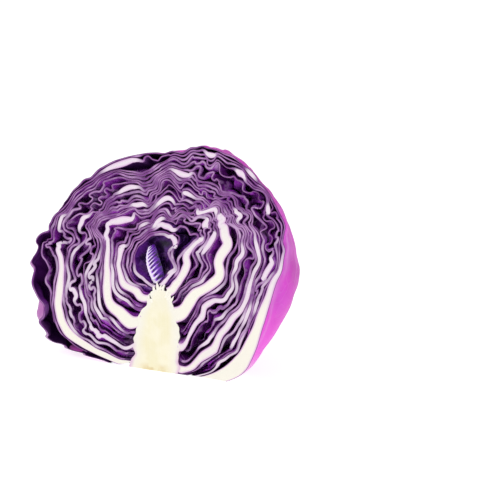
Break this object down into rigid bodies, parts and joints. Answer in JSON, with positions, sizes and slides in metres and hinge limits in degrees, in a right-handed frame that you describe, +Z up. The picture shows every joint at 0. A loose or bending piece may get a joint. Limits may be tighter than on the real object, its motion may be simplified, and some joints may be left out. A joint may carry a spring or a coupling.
{
  "type": "halved red cabbage",
  "caption": "Half a red cabbage cut from top to stem, with nested waved leaves round a tapering core, standing on its trimmed base.",
  "frame": {"origin": "centre of the object's box, on the plane of the trimmed base that it stands on", "axes": "+Z up along the core, cut face towards -Y, +X to the right of someone who faces the cut face"},
  "size_m": [0.1634, 0.0794, 0.1338],
  "materials": {
    "core": "moist cream flesh",
    "heart": "blue-violet, waxy",
    "leaf": "dark purple skin over white flesh",
    "wrapper": "magenta purple with a waxy bloom"
  },
  "bodies": {
    "root": {"core": "core", "heart_bud": "heart", "heart_leaf_1": "heart", "heart_leaf_2": "heart", "heart_leaf_3": "heart", "inner_leaf_01": "leaf", "inner_leaf_02": "leaf", "inner_leaf_03": "leaf", "inner_leaf_04": "leaf", "inner_leaf_05": "leaf", "inner_leaf_06": "leaf", "inner_leaf_07": "leaf", "inner_leaf_08": "leaf", "inner_leaf_09": "leaf", "inner_leaf_10": "leaf", "inner_leaf_11": "leaf", "inner_leaf_12": "leaf", "inner_leaf_13": "leaf", "inner_leaf_14": "leaf", "inner_leaf_15": "leaf", "wrapper_leaf_1": "wrapper", "wrapper_leaf_2": "wrapper", "wrapper_leaf_3": "wrapper", "wrapper_leaf_4": "wrapper"}
  },
  "joints": []
}
